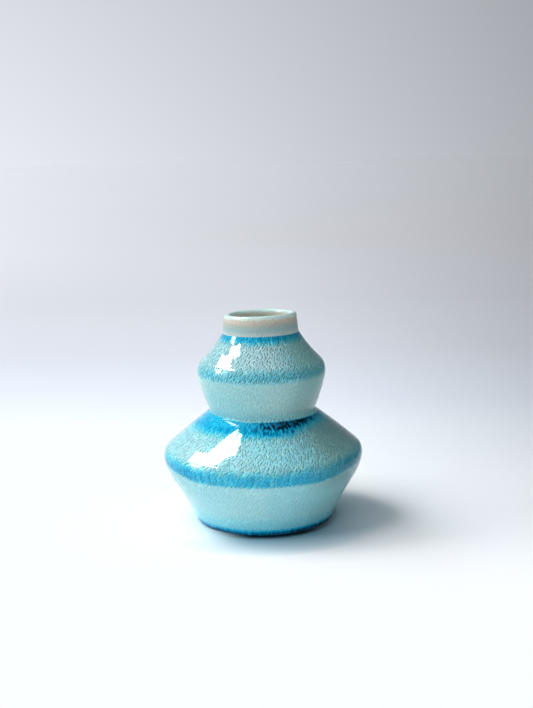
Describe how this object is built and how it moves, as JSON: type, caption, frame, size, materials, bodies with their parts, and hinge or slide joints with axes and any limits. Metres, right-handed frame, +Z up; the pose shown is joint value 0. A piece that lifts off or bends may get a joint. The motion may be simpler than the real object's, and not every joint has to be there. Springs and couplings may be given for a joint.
{
  "type": "bud vase",
  "caption": "Double-gourd bud vase in crackle-glazed stoneware: a wide angular lower bulb, a smaller bulb above a pinched waist, and a short collar with a rounded lip.",
  "frame": {"origin": "centre of the foot ring, on the surface that the vase stands on", "axes": "+Z up along the vase's own axis, from the foot to the lip; -Y towards the viewer of the picture"},
  "size_m": [0.0896, 0.0896, 0.0936],
  "materials": {
    "bare_clay": "matt, fine-grained fired stoneware",
    "slip_clay": "matt, fired joining slip",
    "pale_glaze": "glossy, pale grey-blue, faint fine crackle",
    "turquoise_glaze": "glossy turquoise with dense crackle, deeper blue where it pools",
    "collar_glaze": "glossy, warm beige breaking to grey-blue, mint on the lip",
    "liner_glaze": "glossy, pale grey-green"
  },
  "bodies": {
    "root": {"lower_bowl": "bare_clay", "lower_shoulder": "bare_clay", "upper_bowl": "bare_clay", "upper_shoulder_and_collar": "bare_clay", "lower_edge_slip": "slip_clay", "waist_slip": "slip_clay", "upper_edge_slip": "slip_clay", "lower_bowl_glaze": "pale_glaze", "lower_shoulder_glaze": "turquoise_glaze", "upper_bowl_glaze": "pale_glaze", "upper_shoulder_glaze": "turquoise_glaze", "collar_glaze": "collar_glaze", "liner_glaze": "liner_glaze"}
  },
  "joints": []
}
